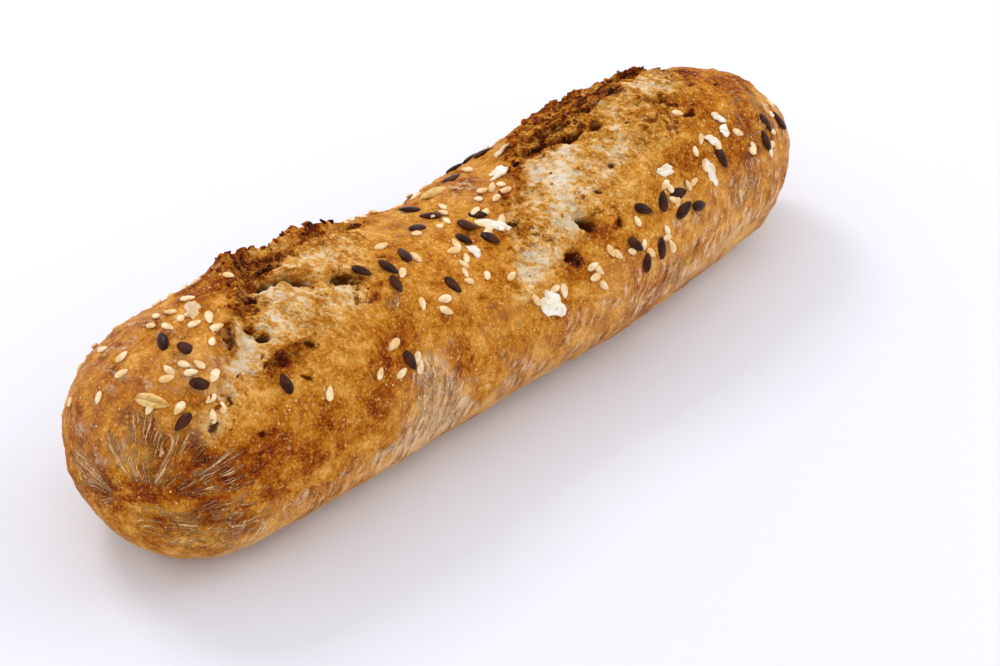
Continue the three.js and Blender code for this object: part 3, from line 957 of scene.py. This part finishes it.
def addSeed(bm, look, place, size, reshape=None):
    # a drop with its pointed end along the place's own X, made from a ball
    made = bmesh.ops.create_uvsphere(bm, u_segments=look["around"], v_segments=look["rings"], radius=0.5)
    length, width, thickness = size
    for v in made["verts"]:
        narrow = 1 - look["pointed"] * (v.co.z + 0.5) ** look["pinch"]
        local = Vector((v.co.z * length, v.co.x * width * narrow, v.co.y * thickness * narrow))
        if reshape:
            reshape(local)
        v.co = place @ (local * mm)
    return made["verts"]


def sizeOf(look, scale=1.0):
    return [scale * look[k] for k in ("length", "width", "thickness")]


def tiltOf(look):
    return rng.uniform(-look["tilt"], look["tilt"])


def partFrame(name):
    # where a part lies: its middle, its long and thin directions, and its length and width
    co = np.array([v.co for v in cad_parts[name].data.vertices])
    middle = co.mean(axis=0)
    axes = np.linalg.svd(co - middle)[2]
    spans = np.ptp((co - middle) @ axes.T, axis=0) / mm
    thin = Vector(axes[2])
    if thin.dot(Vector(middle) - coreAt(middle[0] / mm) * mm) < 0:
        thin.negate()
    return Vector(middle), Vector(axes[0]), thin, spans[:2]


def partsNamed(start):
    return sorted(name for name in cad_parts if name.startswith(start))


def laySeeds(start, look, reshape=None):
    # one seed in the place of each part whose name starts so
    bm = bmesh.new()
    for name in partsNamed(start):
        middle, longWay, thin, _ = partFrame(name)
        scale = rng.uniform(*look["scales"]) if "scales" in look else 1
        place = lay(seatOn(middle, thin, look), longWay, thin, tiltOf(look))
        addSeed(bm, look, place, sizeOf(look, scale), reshape)
    return bm


loaf = makeLoaf()
loaf.data.materials.append(crustMaterial())
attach(loaf, "root")
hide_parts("loaf")

bm = bmesh.new()
bm.from_mesh(loaf.data)
crustTree = BVHTree.FromBMesh(bm)
bm.free()

linseedLook = {
    "tone": tone(46, 20, 12), "second": tone(78, 38, 22), "fleck": tone(24, 9, 7), "roughness": 0.15,
    "shine": 0.1, "fleckSize": 0.6, "patchSize": 3, "relief": 0.1,
    "length": 5.3, "width": 2.9, "thickness": 1.35, "scales": (0.9, 1.06), "tilt": 0.14, "sink": 0.22,
    "around": 14, "rings": 12, "pointed": 0.42, "pinch": 2.5,
}

linseeds = laySeeds("linseed", linseedLook)
linkPiece("linseeds", linseeds, seedMaterial("linseedSkin", linseedLook), partsNamed("linseed"))

grainLook = {
    "tone": tone(238, 202, 134), "second": tone(222, 176, 100), "fleck": tone(184, 130, 62),
    "roughness": 0.42, "shine": 0.2, "fleckSize": 0.9, "patchSize": 3, "relief": 0.2,
    "length": 7.8, "width": 3.2, "thickness": 2.3, "tilt": 0.1, "sink": 0.25,
    "creaseDepth": 1.0, "creaseWidth": 0.34,
    "around": 20, "rings": 16, "pointed": 0.35, "pinch": 2.0,
}


def pressCrease(local, depth, width):
    # a groove along the top of a seed
    if local.z > 0:
        local.z -= depth * math.exp(-((local.y / width) ** 2))


def creaseGrain(local):
    pressCrease(local, grainLook["creaseDepth"], grainLook["creaseWidth"])


grains = laySeeds("grain", grainLook, creaseGrain)
linkPiece("grains", grains, seedMaterial("grainSkin", grainLook), partsNamed("grain"))

oatLook = {
    "tone": tone(250, 244, 232), "second": tone(240, 226, 200), "fleck": tone(220, 192, 150),
    "roughness": 0.6, "shine": 0.2, "fleckSize": 0.8, "patchSize": 3, "relief": 0.35,
    "grow": 1.2, "thickness": 1.1, "tilt": 0.1, "sink": 0.1,
    "creaseDepth": 0.35, "creaseWidth": 0.3, "raggedness": 0.42, "curl": 0.7,
    "around": 28, "rings": 14, "pointed": 0.1, "pinch": 2.0,
    "toasted": {"oat_flake_10": 0.6, "oat_flake_03": 0.4},
    "toastedTone": tone(226, 182, 118),
}


def raggedFlake(k):
    # the reshaping of the flake with that number, since no two are torn alike
    def reshape(local):
        swing = math.atan2(local.y, local.x)
        around = Vector((math.cos(swing) * 1.3, math.sin(swing) * 1.3, 3.7 * k))
        local.xy *= 1 + oatLook["raggedness"] * noise.fractal(around, 1.0, 2.0, 3)
        local.z += oatLook["curl"] * noise.noise(Vector((local.x * 0.6, local.y * 0.6, 5.1 * k)))
        pressCrease(local, oatLook["creaseDepth"], oatLook["creaseWidth"])

    return reshape


def layFlakes():
    bm = bmesh.new()
    toastLayer = bm.verts.layers.float.new("toast")
    for k, name in enumerate(partsNamed("oat_flake")):
        middle, longWay, thin, spans = partFrame(name)
        place = lay(seatOn(middle, thin, oatLook), longWay, thin, tiltOf(oatLook))
        size = (*(spans * oatLook["grow"]), oatLook["thickness"])
        for v in addSeed(bm, oatLook, place, size, raggedFlake(k)):
            v[toastLayer] = oatLook["toasted"].get(name, 0)
    return bm


linkPiece("oatFlakes", layFlakes(), seedMaterial("oatSkin", oatLook), partsNamed("oat_flake"))

sesameLook = {
    "tone": tone(250, 228, 186), "second": tone(234, 192, 130), "fleck": tone(222, 174, 106),
    "roughness": 0.38, "shine": 0.25, "fleckSize": 1.2, "patchSize": 3, "relief": 0.08,
    "length": 3.3, "width": 2.05, "thickness": 1.1, "scales": (0.86, 1.1), "tilt": 0.25, "lift": 0.3,
    "around": 8, "rings": 6, "pointed": 0.45, "pinch": 2.2,
    "hiddenCount": 46,  # scattered over the back, where none is listed
    "places": [  # x, turn
        (-71, -17), (-76.5, -15), (-79, -19), (-74.5, -5), (-77, -6), (-73, 3), (-82, -14), (-80.5, -6),
        (-76.5, 2), (-73.5, 9), (-76.5, 14), (-90, -33), (-80, -55), (-91, -75), (-91, -11), (-93.5, -5),
        (-84.5, 16), (-82, 20), (-87.5, 14), (-84.5, 21), (-81, 28), (-89, 17), (-84.5, 36), (-83.5, 42),
        (-86, 43), (-94.5, 23), (-90.5, 32), (-98.5, -10), (-61.5, -12), (-22, 18), (-29.5, 25),
        (-29.5, 41), (-24, 43), (-25, 48), (-41.5, 52), (-48, 60), (-43, 64), (-37.5, 62), (-37.5, 66),
        (-60.5, 58), (-10, 17), (-12, 20), (-10, 25), (-12, 28), (-13.5, 33), (-14.5, 38), (-9, 38),
        (10, -8), (12, -6), (14, -4), (13, 0), (7, -5), (9.5, 2), (3.5, 1), (5, 4), (1, 9), (1, 15),
        (-6, -10), (-2, -9), (0, -14), (-3.5, 43), (-1, 60), (5.5, 60), (16.5, 60), (22.5, 58), (16, 66),
        (18, 64), (17.5, 73), (7.5, 64), (24, 62), (28, 65), (32, 66), (33, 54), (33, 72), (41, 69),
        (40, 72), (41, 78), (45, 49), (46, 52), (46, 58), (47, 60), (52, 57), (54, 57), (59, 53), (61, 57),
        (61, 21), (71, 31), (62, 40), (77, 60), (78, 58), (85, 63), (84, 68), (94, 35), (-73, -37),
        (-69.5, -35), (-66, -36), (-64, -31), (-22, -33), (-19, -35), (-17, -32), (-12, -37), (-4, -38),
        (2, -40), (-99.5, -45), (-87, -52), (15, -30), (-8, 2), (-4, -2), (-16, 4), (6, 13), (-27, 6),
        (28, -52), (88, 56), (91, 44), (58, 44), (66, 48), (74, 46),
    ],
}


def scatterSesame():
    look = sesameLook
    spots = list(look["places"])
    for _ in range(look["hiddenCount"]):
        spots.append((rng.uniform(-92, 92), -rng.uniform(48, 105)))
    bm = bmesh.new()
    for x, turn in spots:
        point, ahead, out = surfaceAt(x, turn)
        along = Matrix.Rotation(rng.uniform(0, 2 * math.pi), 3, out) @ ahead
        scale = rng.uniform(*look["scales"])
        seat = dropOn(point, out) + out * look["lift"] * mm
        addSeed(bm, look, lay(seat, along, out, tiltOf(look)), sizeOf(look, scale))
    return bm


linkPiece("sesameSeeds", scatterSesame(), seedMaterial("sesameSkin", sesameLook))

shredLook = {
    "around": 6, "rings": 5, "pointed": 0.2, "pinch": 1.5,
    "length": (0.9, 2.2), "slimness": (0.45, 0.8), "knobbly": 0.35, "lift": 0.15,
    "ear": {"tries": 150, "shrink": 1, "bake": (0.72, 0.14)},
    "crumb": {"tries": 80, "shrink": 0.7, "bake": (0.5, 0.12)},
}


def knobbly(seed):
    def reshape(local):
        local *= 1 + shredLook["knobbly"] * noise.noise(local * 1.6 + Vector((seed, 0, 0)))

    return reshape


def shredSpot(burst, onEar):
    # a random place on a burst's ear or in its crumb, with the shred's size from 0 to 1, or nothing
    x0, arc0, way, length = burstFrame(burst)
    p = rng.uniform(4, length - 1)
    ear = float(np.interp(p, burst["earAt"], burst["earOff"]))
    lip = float(np.interp(p, burst["lipAt"], burst["lipOff"]))
    q = ear + rng.gauss(-0.6, 1.4) if onEar else rng.uniform(ear, lip)
    big = rng.random()
    if onEar and rng.random() > np.interp(p, burst["heightAt"], burst["heights"]):
        return None
    return x0 + p * way[0] - q * way[1], (arc0 + p * way[1] + q * way[0]) / arcPerDegree, big


def addShred(bm, bakeLayer, kind, x, turn, big):
    look = shredLook
    point, ahead, out = surfaceAt(x, turn)
    tipped = (out + Vector((rng.gauss(0, 0.4), rng.gauss(0, 0.4), rng.gauss(0, 0.3)))).normalized()
    along = Matrix.Rotation(rng.uniform(0, 2 * math.pi), 3, tipped) @ ahead
    low, high = look["length"]
    size = (low + (high - low) * big**2) * kind["shrink"]
    slim = rng.uniform(*look["slimness"])
    place = lay(dropOn(point, out) + out * look["lift"] * size * mm, along, tipped)
    made = addSeed(bm, look, place, (size, size * slim, size * slim), knobbly(rng.uniform(0, 50)))
    level = rng.gauss(*kind["bake"])
    for v in made:
        v[bakeLayer] = level


def scatterShreds():
    # torn crumbs along the ears and a few loose ones in the bursts
    bm = bmesh.new()
    bakeLayer = bm.verts.layers.float.new("bake")
    for burst in bursts:
        for name in ("ear", "crumb"):
            for _ in range(shredLook[name]["tries"]):
                spot = shredSpot(burst, name == "ear")
                if spot:
                    addShred(bm, bakeLayer, shredLook[name], *spot)
    return bm


linkPiece("tornShreds", scatterShreds(), shredMaterial())

stageLook = {
    "floorHalf": 5,  # metres
    "floorTone": (0.8, 0.81, 0.88),
    "floorRoughness": 0.8,
    "worldTone": (0.985, 0.99, 1.0),
    "worldStrength": 0.97,
    # lights: place, size, power
    "keyLight": ((0.02, 0.97, 1.09), 0.45, 5.4),
    "fillLight": ((1.15, -0.6, 0.9), 0.9, 4),
}

bm = bmesh.new()
bmesh.ops.create_grid(bm, x_segments=1, y_segments=1, size=stageLook["floorHalf"])
floor = link(bpy.data.objects.new("floor", fromBmesh(bm, "floor")))
floorPaint, _, floorShader = newMaterial("floorPaint")
floorShader.inputs["Base Color"].default_value = (*stageLook["floorTone"], 1)
floorShader.inputs["Roughness"].default_value = stageLook["floorRoughness"]
floor.data.materials.append(floorPaint)

world = bpy.data.worlds.new("studio")
world.use_nodes = True
background = world.node_tree.nodes["Background"]
background.inputs["Color"].default_value = (*stageLook["worldTone"], 1)
background.inputs["Strength"].default_value = stageLook["worldStrength"]
bpy.context.scene.world = world


def softLight(name):
    place, size, power = stageLook[name]
    data = bpy.data.lights.new(name, "AREA")
    data.size = size
    data.energy = power
    light = link(bpy.data.objects.new(name, data))
    light.location = place
    light.rotation_euler = (-Vector(place)).to_track_quat("-Z", "Y").to_euler()


softLight("keyLight")
softLight("fillLight")
print("floor and lights set")

cameraSetup = {
    "azimuth": -43.5, "elevation": 37, "distance": 0.569, "lens": 88.7, "nearest": 0.01,
    "aimRight": 0.0084, "aimUp": -0.0116, "aimHeight": 0.022,
}
azimuth, elevation = math.radians(cameraSetup["azimuth"]), math.radians(cameraSetup["elevation"])
level = math.cos(elevation)
back = Vector((math.sin(azimuth) * level, -math.cos(azimuth) * level, math.sin(elevation)))
right = Vector((math.cos(azimuth), math.sin(azimuth), 0))
aim = Vector((0, 0, cameraSetup["aimHeight"])) + right * cameraSetup["aimRight"]
aim += back.cross(right) * cameraSetup["aimUp"]
camera = link(bpy.data.objects.new("camera", bpy.data.cameras.new("camera")))
camera.data.lens = cameraSetup["lens"]
camera.data.clip_start = cameraSetup["nearest"]
camera.location = aim + back * cameraSetup["distance"]
camera.rotation_euler = (-back).to_track_quat("-Z", "Y").to_euler()
bpy.context.scene.camera = camera
bpy.context.scene.view_settings.view_transform = "Standard"
print("camera set")
